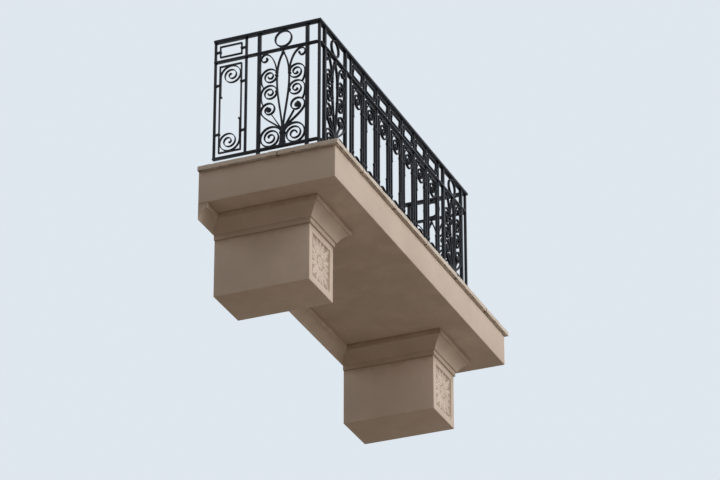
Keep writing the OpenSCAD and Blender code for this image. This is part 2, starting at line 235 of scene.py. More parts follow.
def stucco_material(name, light, dark, damp_and_shade, ledge_top, stain_and_shadow_reach, stain_and_shadow_share, hollow_mask=None):
    """Painted smooth render: mottled, darker on the undersides with damp and painted shade, and with rain
    stains and a painted shadow line below a ledge.
    hollow_mask names the attribute that paints shade into the hollows of a carving."""
    rain_stain = (0.60, 0.50, 0.39)
    ledge_shadow_line = (0.44, 0.33, 0.24)
    hollow_shade = (0.36, 0.30, 0.25)
    m, tree, skin = start_material(name, 0.3)
    grain = use_group(tree, grain_group, Mottle_Scale=2.6, Grain_Scale=260.0, Pit_Scale=70.0)
    facing = use_group(tree, facing_group, Break_Up=7.0)
    drip = use_group(tree, drip_group, Top=ledge_top, Reach=stain_and_shadow_reach, Streaks=11.0)
    colour = blend_colour(tree, ramp(tree, grain.outputs["Mottle"], 0.32, 0.68), dark, light)
    # Faces that look down are darkened: damp, together with painted shade
    colour = blend_colour(tree, times(tree, facing.outputs["Down"], 0.75), colour, damp_and_shade)
    stain = times(tree, drip.outputs["Stain"], stain_and_shadow_share)
    colour = blend_colour(tree, stain, colour, rain_stain, "MULTIPLY")
    # Painted shadow: a dark brown line right under the ledge
    line = times(tree, drip.outputs["Edge"], stain_and_shadow_share * 0.9)
    colour = blend_colour(tree, line, colour, ledge_shadow_line, "MULTIPLY")
    # Painted shade in the hollows of a carving
    if hollow_mask:
        hollow = put(tree, "ShaderNodeAttribute", attribute_name=hollow_mask).outputs["Fac"]
        colour = blend_colour(tree, hollow, colour, hollow_shade, "MULTIPLY")
    tree.links.new(colour, skin.inputs["Base Color"])
    tree.links.new(ramp(tree, grain.outputs["Grain"], 0.3, 0.7, 0.78, 0.94), skin.inputs["Roughness"])
    trowelled = reckon(tree, "ADD", grain.outputs["Mottle"], times(tree, grain.outputs["Grain"], 0.12))
    height = reckon(tree, "SUBTRACT", trowelled, times(tree, grain.outputs["Pits"], 0.05))
    bump(tree, skin, height, 0.45, 0.004)
    return m


def stone_material():
    """Honed limestone paving: each stone its own tone, worn pale in patches, grimy on top, and darker below
    with damp and painted shade.
    """
    dark_stone = (0.50, 0.44, 0.37)
    light_stone = (0.68, 0.61, 0.53)
    worn_patch = (0.80, 0.74, 0.66)
    pit_dirt = (0.33, 0.28, 0.22)
    trodden_dirt = (0.36, 0.33, 0.28)
    damp_and_shade = (0.30, 0.25, 0.20)
    m, tree, skin = start_material("weathered_limestone", 0.35)
    grain = use_group(tree, grain_group, Mottle_Scale=6.0, Grain_Scale=340.0, Pit_Scale=120.0)
    facing = use_group(tree, facing_group, Break_Up=10.0)
    tone = put(tree, "ShaderNodeAttribute", attribute_name="stone_tone").outputs["Fac"]
    worn = ramp(tree, grain.outputs["Mottle"], 0.38, 0.66, 0.0, 0.6)
    colour = blend_colour(tree, tone, dark_stone, light_stone)
    colour = blend_colour(tree, worn, colour, worn_patch)
    colour = blend_colour(tree, times(tree, grain.outputs["Pits"], 0.45), colour, pit_dirt)
    colour = blend_colour(tree, times(tree, facing.outputs["Up"], 0.38), colour, trodden_dirt)
    # Faces that look down are darkened: damp, together with painted shade
    colour = blend_colour(tree, times(tree, facing.outputs["Down"], 0.5), colour, damp_and_shade)
    tree.links.new(colour, skin.inputs["Base Color"])
    tree.links.new(ramp(tree, grain.outputs["Grain"], 0.3, 0.7, 0.58, 0.85), skin.inputs["Roughness"])
    height = reckon(tree, "SUBTRACT", times(tree, grain.outputs["Grain"], 0.2),
                    times(tree, grain.outputs["Pits"], 0.5))
    bump(tree, skin, height, 0.5, 0.0015)
    return m


def mortar_material():
    """Dark, sandy mortar in the joints of the paving."""
    m, tree, skin = start_material("joint_mortar", 0.2, 0.95)
    grain = use_group(tree, grain_group, Mottle_Scale=20.0, Grain_Scale=500.0, Pit_Scale=200.0)
    colour = blend_colour(tree, grain.outputs["Mottle"], (0.16, 0.13, 0.10), (0.34, 0.30, 0.25))
    tree.links.new(colour, skin.inputs["Base Color"])
    bump(tree, skin, grain.outputs["Grain"], 0.6, 0.002)
    return m


def iron_material(name, rust_share, dust_share):
    """Black paint on forged iron: hammer marks, dust on what looks up, rust at worn spots."""
    deep_paint = (0.0065, 0.0075, 0.0105)
    worn_paint = (0.016, 0.019, 0.027)
    dust = (0.20, 0.18, 0.155)
    rust_brown = (0.17, 0.062, 0.022)
    m, tree, skin = start_material(name, 0.22)
    where = object_place(tree)
    grain = use_group(tree, grain_group, Mottle_Scale=9.0, Grain_Scale=420.0, Pit_Scale=160.0)
    facing = use_group(tree, facing_group, Break_Up=30.0)
    colour = blend_colour(tree, ramp(tree, grain.outputs["Mottle"], 0.3, 0.7), deep_paint, worn_paint)
    colour = blend_colour(tree, times(tree, facing.outputs["Up"], dust_share), colour, dust)
    rust = times(tree, ramp(tree, speckle(tree, where, 26.0, 6.0, 0.7), 0.63, 0.74), rust_share)
    colour = blend_colour(tree, rust, colour, rust_brown)
    tree.links.new(colour, skin.inputs["Base Color"])
    rough = ramp(tree, grain.outputs["Mottle"], 0.3, 0.7, 0.34, 0.52)
    tree.links.new(reckon(tree, "ADD", rough, times(tree, rust, 0.4)), skin.inputs["Roughness"])
    hammer_marks = speckle(tree, where, 70.0, 2.0, 0.4)
    height = reckon(tree, "ADD", hammer_marks, times(tree, grain.outputs["Grain"], 0.15))
    bump(tree, skin, height, 0.35, 0.0012)
    return m


# The stains and the painted shadow lines under ledges hang from the tops of these nodes, and the cornice's
# from the slab's underside
slab_low, slab_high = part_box("slab")
paving_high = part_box("front_paving")[1]
crown_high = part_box("left_crown")[1]
corbel_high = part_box("left_corbel")[1]

slab_stucco = stucco_material(
    "slab_stucco", light=(0.66, 0.56, 0.48), dark=(0.60, 0.51, 0.43), damp_and_shade=(0.50, 0.41, 0.33),
    ledge_top=slab_high.z, stain_and_shadow_reach=0.05, stain_and_shadow_share=0.3)
corbel_stucco = stucco_material(
    "corbel_stucco", light=(0.68, 0.58, 0.50), dark=(0.60, 0.51, 0.43), damp_and_shade=(0.56, 0.46, 0.36),
    ledge_top=corbel_high.z, stain_and_shadow_reach=0.05, stain_and_shadow_share=0.4)
# The crown's colours are darker and browner than the slab's and the corbels': painted shade, for the shade
# under the slab
crown_stucco = stucco_material(
    "crown_stucco", light=(0.60, 0.50, 0.42), dark=(0.50, 0.41, 0.335), damp_and_shade=(0.50, 0.42, 0.34),
    ledge_top=crown_high.z, stain_and_shadow_reach=0.04, stain_and_shadow_share=0.4)
carved_stucco = stucco_material(
    "carved_stucco", light=(0.72, 0.62, 0.54), dark=(0.64, 0.55, 0.47), damp_and_shade=(0.50, 0.42, 0.34),
    ledge_top=corbel_high.z, stain_and_shadow_reach=0.04, stain_and_shadow_share=0.3, hollow_mask="hollow")
cornice_stucco = stucco_material(
    "cornice_stucco", light=(0.64, 0.55, 0.47), dark=(0.56, 0.48, 0.40), damp_and_shade=(0.50, 0.42, 0.34),
    ledge_top=slab_low.z, stain_and_shadow_reach=0.05, stain_and_shadow_share=0.4)
limestone = stone_material()
mortar = mortar_material()
bar_iron = iron_material("painted_bar_iron", rust_share=0.35, dust_share=0.30)
rail_iron = iron_material("painted_rail_iron", rust_share=0.30, dust_share=0.55)
scroll_iron = iron_material("painted_scroll_iron", rust_share=0.25, dust_share=0.30)


# Shaping tools

def mm(value):
    """Metres into millimetres."""
    return value / MM


def add_piece(name, bm, material, stands_for=(), sharp=35.0, smooth=True):
    """Turns a bmesh into a piece of the balcony that rides on its one body.
    Edges sharper than sharp, in degrees, stay crisp."""
    bmesh.ops.recalc_face_normals(bm, faces=bm.faces)
    mesh = bpy.data.meshes.new(name)
    bm.to_mesh(mesh)
    bm.free()
    mesh.polygons.foreach_set("use_smooth", [smooth] * len(mesh.polygons))
    if smooth:
        mesh.set_sharp_from_angle(angle=math.radians(sharp))
    mesh.materials.append(material)
    piece = bpy.data.objects.new(name, mesh)
    scene.collection.objects.link(piece)
    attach(piece, "root")
    if stands_for:
        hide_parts(*stands_for)


def add_iron(name, bm, iron, node):
    """A piece of the railing, which stands for one node."""
    add_piece(name, bm, iron, [node])


def join_in(bm, part, matrix=None):
    """Adds a part's mesh to a bmesh, and lets the part go."""
    if matrix is not None:
        bmesh.ops.transform(part, matrix=matrix, verts=part.verts)
    holder = bpy.data.meshes.new("holder")
    part.to_mesh(holder)
    part.free()
    bm.from_mesh(holder)
    bpy.data.meshes.remove(holder)


def fresh_verts(grown):
    """The vertices that an operator has just made."""
    return [g for g in grown if isinstance(g, bmesh.types.BMVert)]


def draw_out(bm, edges):
    """Extrudes edges where they stand. Gives the new vertices, and the new edges between them."""
    grown = bmesh.ops.extrude_edge_only(bm, edges=edges)["geom"]
    verts = fresh_verts(grown)
    fresh = set(verts)
    return verts, [g for g in grown if isinstance(g, bmesh.types.BMEdge)
                   and g.verts[0] in fresh and g.verts[1] in fresh]


def edges_along(bm, axis):
    """The straight edges along X, Y or Z, given as 0, 1 or 2."""
    return [e for e in bm.edges if abs((e.verts[0].co - e.verts[1].co).normalized()[axis]) > 0.99]


def soften(bm, edges, rounding, segments=2):
    """Rounds edges off."""
    bmesh.ops.bevel(bm, geom=edges, offset=rounding, segments=segments, profile=0.5, affect="EDGES",
                    material=-1)


def cube_between(bm, low, high):
    """A plain box between two corners."""
    bmesh.ops.create_cube(bm, size=1.0)
    bmesh.ops.scale(bm, vec=high - low, verts=bm.verts)
    bmesh.ops.translate(bm, vec=(low + high) / 2, verts=bm.verts)


def block(bm, low, high, rounding, segments=2):
    """A block between two corners with rounded edges."""
    part = bmesh.new()
    cube_between(part, Vector(low), Vector(high))
    if rounding > 0:
        soften(part, part.edges[:], rounding, segments)
    join_in(bm, part)


def small_block(bm, x, y, z, rounding):
    """A rounded block from its spans along X, Y and Z, in millimetres."""
    low, high = [[at * MM for at in corner] for corner in zip(x, y, z)]
    block(bm, low, high, rounding * MM)


def bar_section(thick, width, rounding=0.0):
    """The cross-section of a flat bar in millimetres: one face, thick along X and wide along Y."""
    section = bmesh.new()
    bmesh.ops.create_grid(section, x_segments=1, y_segments=1, size=0.5)
    bmesh.ops.scale(section, vec=(thick * MM, width * MM, 1), verts=section.verts)
    if rounding > 0:
        bmesh.ops.bevel(section, geom=section.verts[:], offset=rounding * MM, segments=2, profile=0.5,
                        affect="VERTICES", material=-1)
    return section


def forged_band(bm, path, width, thick, taper=(1.0, 1.0), snub=0.0):
    """Draws a flat bar along a path in the plane of X and Z. Its width runs along Y.
    taper scales the thickness at its two ends, and snub swells its last end into a bud."""
    # In thicknesses: how far back the bud lies, its spread, where the tip starts to close and its end
    bud_back = 0.9
    bud_spread = 0.8
    tip_back = 0.5
    tip_size = 0.55
    part = bar_section(thick, width, 1.1)
    verts, ring = part.verts[:], part.edges[:]
    points = [Vector((x * MM, 0, z * MM)) for x, z in path]
    run = [0.0]
    for a, b in zip(points, points[1:]):
        run.append(run[-1] + (b - a).length)
    last = Matrix.Identity(4)
    for i, point in enumerate(points):
        along = (points[min(i + 1, len(points) - 1)] - points[max(i - 1, 0)]).normalized()
        across = Vector((0, 1, 0)).cross(along)
        turn = Matrix((across, Vector((0, 1, 0)), along)).transposed().to_4x4()
        size = taper[0] + (taper[1] - taper[0]) * run[i] / run[-1]
        left = (run[-1] - run[i]) / (thick * MM)
        size += snub * math.exp(-((left - bud_back) / bud_spread) ** 2)
        if left < tip_back:
            size *= tip_size + (1 - tip_size) * left / tip_back
        station = Matrix.Translation(point) @ turn @ Matrix.Diagonal((size, 1, 1, 1))
        if i:
            verts, ring = draw_out(part, ring)
        bmesh.ops.transform(part, matrix=station @ last.inverted(), verts=verts)
        last = station
    bmesh.ops.edgeloop_fill(part, edges=ring)
    join_in(bm, part)


def flat_frame(bm, left, right, low, high, strip, depth):
    """A rectangular band, drawn to its outer size in millimetres."""
    part = bmesh.new()
    bmesh.ops.create_grid(part, x_segments=1, y_segments=1, size=0.5)
    bmesh.ops.rotate(part, verts=part.verts, cent=(0, 0, 0), matrix=Matrix.Rotation(math.pi / 2, 3, "X"))
    bmesh.ops.scale(part, vec=((right - left) * MM, 1, (high - low) * MM), verts=part.verts)
    front_middle = Vector(((left + right) / 2 * MM, -depth / 2 * MM, (low + high) / 2 * MM))
    bmesh.ops.translate(part, vec=front_middle, verts=part.verts)
    face = next(iter(part.faces))
    bmesh.ops.inset_region(part, faces=[face], thickness=strip * MM, depth=0, use_even_offset=True,
                           use_boundary=True)
    bmesh.ops.delete(part, geom=[face], context="FACES_ONLY")
    grown = bmesh.ops.extrude_face_region(part, geom=part.faces[:])["geom"]
    bmesh.ops.translate(part, vec=(0, depth * MM, 0), verts=fresh_verts(grown))
    soften(part, part.edges[:], 0.8 * MM)
    join_in(bm, part)


def bud(bm, x, z, radius, depth):
    """A forged ball end, flattened to the width of its bar."""
    part = bmesh.new()
    bmesh.ops.create_uvsphere(part, u_segments=20, v_segments=12, radius=1.0)
    bmesh.ops.scale(part, vec=(radius * MM, depth / 2 * MM, radius * MM), verts=part.verts)
    bmesh.ops.translate(part, vec=(x * MM, 0, z * MM), verts=part.verts)
    join_in(bm, part)


def collar(bm, x, z, wide, tall, depth, tilt=0.0, rounding=1.2):
    """A forged collar wrapped round two bars, turned by tilt degrees in the panel's plane."""
    part = bmesh.new()
    bmesh.ops.create_cube(part, size=1.0)
    bmesh.ops.scale(part, vec=(wide * MM, depth * MM, tall * MM), verts=part.verts)
    soften(part, part.edges[:], rounding * MM, 3)
    join_in(bm, part, Matrix.Translation((x * MM, 0, z * MM)) @ Matrix.Rotation(math.radians(tilt), 4, "Y"))


def bend(a, b, c, d, steps, first=0):
    """A smooth curve from a to d that leaves towards b and arrives from c."""
    out = []
    for i in range(first, steps + 1):
        s = i / steps
        r = 1 - s
        out.append(tuple(r ** 3 * p + 3 * r * r * s * q + 3 * r * s * s * t + s ** 3 * u
                         for p, q, t, u in zip(a, b, c, d)))
    return out


def curl(middle, r_start, r_end, start, turn):
    """A spiral about its middle, from the angle start and through turn, in degrees. It leaves out its
    first point, which the line before it ends on."""
    degrees_a_step = 7.5
    steps = math.ceil(abs(turn) / degrees_a_step)
    out = []
    for i in range(1, steps + 1):
        s = i / steps
        a = math.radians(start + turn * s)
        r = r_start + (r_end - r_start) * s
        out.append((middle[0] + r * math.cos(a), middle[1] + r * math.sin(a)))
    return out


def off(point, dx, dz):
    return (point[0] + dx, point[1] + dz)


# Railing sizes and levels in millimetres, the same as the solids have

bar = 14.0
band = 6.0
lyre_band = 8.0
band_w = 16.0
weld = 0.5
lyre_gap = 0.3
ring_r = 56.0
frame_gap = 21.0
frame_rise = 26.0
small_frame_rise = 22.0
block_rise = 125.0
scroll_pitch = 27.0
scroll_stem = 140.0

mid_rail_low, mid_rail_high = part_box("front_middle_rail")
rest = mm(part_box("front_bottom_rail")[1].z)
mid_under = mm(mid_rail_low.z)
mid_over = mm(mid_rail_high.z)
hand_under = mm(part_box("front_handrail")[0].z)
paving_top = mm(paving_high.z)
post_low, post_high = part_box("right_corner_post")
post_x = mm(post_low.x + post_high.x) / 2
post_y = mm(post_low.y + post_high.y) / 2
lyre_low, lyre_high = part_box("front_left_lyre")
lyre_x = mm(lyre_low.x + lyre_high.x) / 2
lyre_half = mm(lyre_high.x - lyre_low.x) / 2 + lyre_gap
lyre_tall = mid_under - rest
side_lyre_low, side_lyre_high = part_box("left_lyre")
side_lyre_y = mm(side_lyre_low.y + side_lyre_high.y) / 2


# Lyre panels

def lyre_stem():
    """The stem, drawn from its foot up: spread, waisted, then closed in under the lens."""
    # Levels above the bottom rail, each with half the stem's width there
    profile = ((0, 24), (6, 22), (14, 17.5), (24, 15), (50, 14), (76, 14.5), (92, 14), (108, 10), (125, 6))
    stem = bar_section(1.0, band_w + 1)
    verts, ring = stem.verts[:], stem.edges[:]
    wide_now, level_now = 1.0, -rest
    for i, (level, half) in enumerate(profile):
        if i:
            verts, ring = draw_out(stem, ring)
        bmesh.ops.scale(stem, vec=(2 * half / wide_now, 1, 1), verts=verts)
        bmesh.ops.translate(stem, vec=(0, 0, (level - level_now) * MM), verts=verts)
        wide_now, level_now = 2 * half, level
    bmesh.ops.edgeloop_fill(stem, edges=ring)
    return stem


def ring_hoop():
    """The ring, spun whole about its middle."""
    hoop = bar_section(lyre_band, band_w, 1.0)
    bmesh.ops.translate(hoop, vec=((ring_r - lyre_band / 2) * MM, 0, 0), verts=hoop.verts)
    bmesh.ops.delete(hoop, geom=hoop.faces[:], context="FACES_ONLY")
    bmesh.ops.spin(hoop, geom=hoop.edges[:], cent=(0, 0, 0), axis=(0, 1, 0), dvec=(0, 0, 0),
                   angle=math.tau, steps=72, use_merge=True)
    return hoop


def lyre_panel():
    """A lyre about X = 0: the lens, its spirals, its stem and the ring above the middle rail."""
    bm = bmesh.new()
    out = lyre_half - lyre_band / 2 - lyre_gap
    lens_half = lyre_half * 0.27
    lens_foot = 135
    lens_wide = 445
    # Middles and first radii of the spirals beside the lens, from the top down
    curl_1 = (lyre_half * 0.58, lyre_tall - 166)
    curl_2 = (lyre_half * 0.58, lyre_tall - 277)
    curl_3 = (lyre_half * 0.62, lyre_tall - 389)
    curl_r = out - curl_1[0]
    curl_eye = 8
    bud_curl_r = out - curl_3[0]
    bud_r = 16
    # The hook in the top corner and the large spiral at the foot
    hook_r = 31.0
    hook_side = 24.5
    hook = (out - hook_side, lyre_tall - lyre_gap - lyre_band / 2 - 6 - hook_r)
    foot_r = 70.0
    foot_side = 63.5
    foot_low = 57
    foot = (out - foot_side, foot_low + lyre_band / 2 + lyre_gap)
    diagonal = math.cos(math.radians(45))

    def draw(path, **how):
        """Draws a band on both sides of the lyre, from a path above the bottom rail."""
        for side in (1, -1):
            forged_band(bm, [(side * x, z + rest) for x, z in path], band_w, lyre_band, **how)

    # The pointed lens, from the stem up to its tip
    neck = (4, lens_foot)
    waist = (lens_half, lens_wide)
    apex = (lyre_band / 2, lyre_tall - 24)
    draw(bend((4, 30), (4, 70), (4, 100), neck, 4)
         + bend(neck, (14, lens_foot + 100), (lens_half, lens_wide - 110), waist, 26, 1)
         + bend(waist, (lens_half, lens_wide + 60), (lens_half - 8, apex[1] - 45), apex, 22, 1))
    # The arch beside it, which ends in the hook
    draw(bend((lens_half + 1, lens_wide + 40), (lens_half + 4, lens_wide + 110),
              (hook[0] - 40, hook[1] + hook_r), off(hook, 0, hook_r), 20)
         + curl(hook, hook_r, 9, 90, -306), taper=(0.8, 0.9), snub=0.9)
    # Two spirals, each with its tail on the one below
    for middle, below, below_r in ((curl_1, curl_2, curl_r * 0.95), (curl_2, curl_3, bud_curl_r * 0.97)):
        tail = off(below, below_r * diagonal, below_r * diagonal)
        draw(bend(tail, off(tail, 12, 18), off(middle, curl_r, -36), off(middle, curl_r, 0), 12)
             + curl(middle, curl_r, curl_eye, 0, 720), taper=(0.8, 0.75), snub=0.55)
    # The third spiral on its long stem, with the second stem inside it
    knot = (8, lens_foot - 28)
    draw(bend(knot, (50, lens_foot + 20), (out, curl_3[1] - 50), off(curl_3, bud_curl_r, 0), 26)
         + curl(curl_3, bud_curl_r, bud_r, 0, 450), taper=(1.1, 0.8))
    draw(bend(off(curl_3, -18, -34), off(curl_3, -34, -60), (38, lens_foot + 24), off(knot, 0, 4), 16),
         taper=(0.7, 1.0))
    # The large spiral at the foot
    draw(bend((8, lens_foot - 50), (18, lens_foot - 20), off(foot, -34, foot_r), off(foot, 0, foot_r), 14)
         + curl(foot, foot_r, 12, 90, -810), taper=(1.1, 0.75), snub=0.55)
    for side in (1, -1):
        bud(bm, side * curl_3[0], curl_3[1] + rest, bud_r + 0.8, band_w + 3)
        collar(bm, side * (lens_half + 2.5), curl_1[1] + rest, 17, 13, band_w + 3, side * -2)
        collar(bm, side * (lens_half + 0.5), curl_2[1] + rest, 17, 13, band_w + 3, side * 4)
        collar(bm, side * (lens_half + 1.5), lens_wide + 47 + rest, 15, 11, band_w + 3)
    join_in(bm, lyre_stem())
    # Collars on the stem and at the lens's tip, and the tip's seat under the middle rail
    collar(bm, 0, 80 + rest, 37, 13, band_w + 6, rounding=2.5)
    collar(bm, 0, 22 + rest, 36, 9, band_w + 5, rounding=2.5)
    collar(bm, 0, lyre_tall - 22 + rest, 19, 14, band_w + 4, rounding=2)
    small_block(bm, (-4, 4), (-8, 8), (rest + lyre_tall - 20, mid_under), 0.8)
    # The ring, with the two blocks that hold it
    ring_z = (mid_over + hand_under) / 2
    join_in(bm, ring_hoop(), Matrix.Translation((0, 0, ring_z * MM)))
    for levels in ((mid_over, ring_z - ring_r + lyre_band), (ring_z + ring_r - lyre_band, hand_under)):
        small_block(bm, (-6, 6), (-9, 9), levels, 1.5)
    return bm


# Scroll bays

def bay_panel(width):
    """A bay about X = 0: two frames, two scrolls and the collars that hold it to the bars."""
    bm = bmesh.new()
    half = width / 2 - bar / 2 - frame_gap - band / 2
    low, high = rest + frame_rise + band / 2, mid_under - frame_rise - band / 2
    upper_low, upper_high = mid_over + small_frame_rise + band / 2, hand_under - frame_rise - band / 2
    for a, b in ((low, high), (upper_low, upper_high)):
        flat_frame(bm, -half - band / 2, half + band / 2, a - band / 2, b + band / 2, band, band_w)
    # The scroll leaves its stem on the frame's left side, runs under its top and curls in
    step_in = band - weld
    start_r = half - step_in + scroll_pitch / 4
    side = -half + step_in
    middle = (side + start_r, high - step_in - start_r + scroll_pitch / 4)
    end = middle[1] - scroll_stem
    straight = 115
    scroll = ([(side + 3.2, end - 4), (side + 0.8, end + 8)]
              + [(side, middle[1] - straight + straight * i / 6) for i in range(7)]
              + curl(middle, start_r, start_r - 2.25 * scroll_pitch, 180, -810))
    stem_end = [(side + band * 0.8, end)]

    def turned_over(points):
        """The same points after half a turn about the frame's middle."""
        return [(-x, low + high - z) for x, z in points]

    for path, bud_at in ((scroll, stem_end), (turned_over(scroll), turned_over(stem_end))):
        forged_band(bm, path, band_w, band, taper=(0.9, 0.75), snub=0.6)
        bud(bm, *bud_at[0], 7.0, band_w + 2)
    inner, outer = half - band / 2, width / 2 - bar / 2
    for s in (-1, 1):
        for z in (low + block_rise, high - block_rise, (upper_low + upper_high) / 2):
            small_block(bm, sorted((s * inner, s * outer)), (-7, 7), (z - 6, z + 6), 1.5)
            collar(bm, s * half, z, 11, 14, band_w + 3)
            collar(bm, s * (outer - 1), z, 6, 14, band_w)
    return bm


def at_front(bm, x):
    """Sets a panel in the front railing."""
    bmesh.ops.transform(bm, matrix=Matrix.Translation((x * MM, post_y * MM, 0)), verts=bm.verts)
    return bm


def at_side(bm, side, y):
    """Sets a panel in a side railing, with its X away from the wall. side is -1 for the left."""
    stand = Matrix(((0, side, 0, side * post_x * MM), (-1, 0, 0, y * MM), (0, 0, 1, 0), (0, 0, 0, 1)))
    bmesh.ops.transform(bm, matrix=stand, verts=bm.verts)
    return bm


for x, node in ((lyre_x, "front_left_lyre"), (-lyre_x, "front_right_lyre")):
    add_iron("forged_" + node, at_front(lyre_panel(), x), scroll_iron, node)
for side, node in ((-1, "left_lyre"), (1, "right_lyre")):
    add_iron("forged_" + node, at_side(lyre_panel(), side, side_lyre_y), scroll_iron, node)

bay_nodes = sorted(n for n in nodes if n.startswith("front_bay_"))
first_low, first_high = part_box(bay_nodes[0])
front_bay_width = mm(first_high.x - first_low.x) + bar
for node in bay_nodes:
    lo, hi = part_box(node)
    add_iron("forged_" + node, at_front(bay_panel(front_bay_width), mm(lo.x + hi.x) / 2), scroll_iron, node)
for side, node in ((-1, "left_wall_bay"), (1, "right_wall_bay")):
    lo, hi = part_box(node)
    panel = bay_panel(mm(hi.y - lo.y) + bar)
    add_iron("forged_" + node, at_side(panel, side, mm(lo.y + hi.y) / 2), scroll_iron, node)


# Bars, posts and rails

def foot_seat(bm, x, y, half):
    """The small lead seat that a foot stands in on the paving."""
    small_block(bm, (x - half, x + half), (y - half, y + half), (paving_top - 1, paving_top + 4), 2.2)


def bars_of(node):
    """Each bar's middle, half its side and its two levels in millimetres, read from the frame.
    Points that lie close together, as seen from above, belong to one bar."""
    close = 0.03
    bars = []
    for v in nodes[node].data.vertices:
        for points in bars:
            if abs(points[0].x - v.co.x) < close and abs(points[0].y - v.co.y) < close:
                points.append(v.co)
                break
        else:
            bars.append([v.co])
    out = []
    for points in bars:
        xs, ys, zs = [[mm(p[k]) for p in points] for k in range(3)]
        out.append(((min(xs) + max(xs)) / 2, (min(ys) + max(ys)) / 2, (max(xs) - min(xs)) / 2,
                    min(zs), max(zs)))
    return sorted(out)


for node in ("front_bars", "left_bars", "right_bars"):
    bm = bmesh.new()
    for x, y, half, low, high in bars_of(node):
        small_block(bm, (x - half, x + half), (y - half, y + half), (low, high), 1.3)
        if low < rest - 40:
            foot_seat(bm, x, y, half + 5)
        else:
            # A bar that stops at the bottom rail is riveted over below it, and never reaches into the wall
            small_block(bm, (x - 9, x + 9), (y - 9, min(y + 9, 0)), (low - 0.5, low + 1.5), 0.8)
    add_iron("square_" + node, bm, bar_iron, node)

for node in ("left_corner_post", "right_corner_post"):
    lo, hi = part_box(node)
    bm = bmesh.new()
    block(bm, lo, hi, 0.0016)
    foot_seat(bm, mm(lo.x + hi.x) / 2, mm(lo.y + hi.y) / 2, 14)
    add_iron("square_" + node, bm, bar_iron, node)

for node in ("front_middle_rail", "left_middle_rail", "right_middle_rail",
             "front_bottom_rail", "left_bottom_rail", "right_bottom_rail"):
    lo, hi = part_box(node)
    bm = bmesh.new()
    block(bm, lo, hi, 0.0022)
    add_iron("flat_" + node, bm, rail_iron, node)


def handrail(node):
    """A flat handrail with a softly rounded top, mitred at its corners."""
    lo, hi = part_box(node)
    side_low, side_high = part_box("left_handrail")
    wide = side_high.x - side_low.x
    if node == "front_handrail":
        plan = [(lo.x, lo.y), (hi.x, lo.y), (hi.x - wide, hi.y), (lo.x + wide, hi.y)]
    elif node == "left_handrail":
        plan = [(lo.x, lo.y), (hi.x, lo.y + wide), (hi.x, hi.y), (lo.x, hi.y)]
    else:
        plan = [(lo.x, lo.y + wide), (hi.x, lo.y), (hi.x, hi.y), (lo.x, hi.y)]
    bm = bmesh.new()
    face = bm.faces.new([bm.verts.new((x, y, lo.z)) for x, y in plan])
    grown = bmesh.ops.extrude_face_region(bm, geom=[face])["geom"]
    bmesh.ops.translate(bm, vec=(0, 0, hi.z - lo.z), verts=fresh_verts(grown))
    long_edges = edges_along(bm, 0 if node == "front_handrail" else 1)
    top = [e for e in long_edges if e.verts[0].co.z > lo.z + MM]
    under = [e for e in long_edges if e.verts[0].co.z <= lo.z + MM]
    soften(bm, top, 0.007, 4)
    soften(bm, [e for e in under if e.is_valid], 0.0015)
    add_iron("rounded_" + node, bm, rail_iron, node)


for node in ("front_handrail", "left_handrail", "right_handrail"):
    handrail(node)


# Paving stones on their mortar bed

def worn_stone(bm, low, high, tone, seed):
    """One stone with chipped, rounded edges. tone goes into the attribute that its colour reads."""
    flush = 0.0005
    rounding = 0.0012
    nick = 0.0022
    deep_chip = 0.008
    uneven = 0.0004
    part = bmesh.new()
    low, high = Vector(low), Vector(high)
    cube_between(part, low, high)
    for axis, spacing in enumerate((0.016, 0.016, 0.011)):
        cuts = max(1, int((high - low)[axis] / spacing))
        bmesh.ops.subdivide_edges(part, edges=edges_along(part, axis), cuts=cuts, use_grid_fill=True)
    for v in part.verts:
        near = [min(v.co[k] - low[k], high[k] - v.co[k]) for k in range(3)]
        at_edge = sum(1 for d in near if d < flush) >= 2
        inward = Vector([0 if near[k] > flush else (1 if v.co[k] - low[k] < flush else -1)
                         for k in range(3)])
        wave = noise.noise(v.co * 9 + Vector((seed, 0, 0)))
        chip = noise.noise(v.co * 38 + Vector((0, seed, 0)))
        if at_edge:
            v.co += inward * (rounding + nick * max(0, chip) + deep_chip * max(0, chip - 0.35))
        elif inward.length > 0:
            v.co += inward * (uneven + uneven * wave)
    layer = part.verts.layers.float.new("stone_tone")
    for v in part.verts:
        v[layer] = tone
    join_in(bm, part)


random.seed(11)
corner_stone = 0.386
joint = 0.004
bed_in = 0.005
bed = bmesh.new()
for node, name, row_seed in (("front_paving", "front_stones", 12), ("rear_paving", "rear_stones", 11)):
    lo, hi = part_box(node)
    is_front = node == "front_paving"
    inner = (hi.x - lo.x - 2 * corner_stone) / 4
    ends = [lo.x, lo.x + corner_stone, lo.x + corner_stone + inner, 0.0,
            hi.x - corner_stone - inner, hi.x - corner_stone, hi.x]
    back = hi.y - joint / 2 if is_front else hi.y
    front = lo.y if is_front else lo.y + joint / 2
    bm = bmesh.new()
    bm.verts.layers.float.new("stone_tone")
    for i, (a, b) in enumerate(zip(ends, ends[1:])):
        sink = random.uniform(0, 0.0008)
        tone = random.uniform(0.2, 0.9)
        left = a + joint / 2 if i > 0 else a
        right = b - joint / 2 if i < len(ends) - 2 else b
        worn_stone(bm, (left, front, lo.z), (right, back, hi.z - sink), tone, 3.0 * i + row_seed)
    add_piece(name, bm, limestone, [node], sharp=50)
    bed_front = lo.y + bed_in if is_front else lo.y - joint
    block(bed, (lo.x + bed_in, bed_front, lo.z + MM), (hi.x - bed_in, hi.y, hi.z - bed_in), 0)
add_piece("paving_joint_mortar", bed, mortar, smooth=False)


# Slab, cornice, corbels and crowns

bm = bmesh.new()
block(bm, slab_low, slab_high, 0.004, 3)
add_piece("plastered_slab", bm, slab_stucco, ["slab"])

# How much of each corner of a moulding the coats of paint take off, in millimetres
arris = 0.8


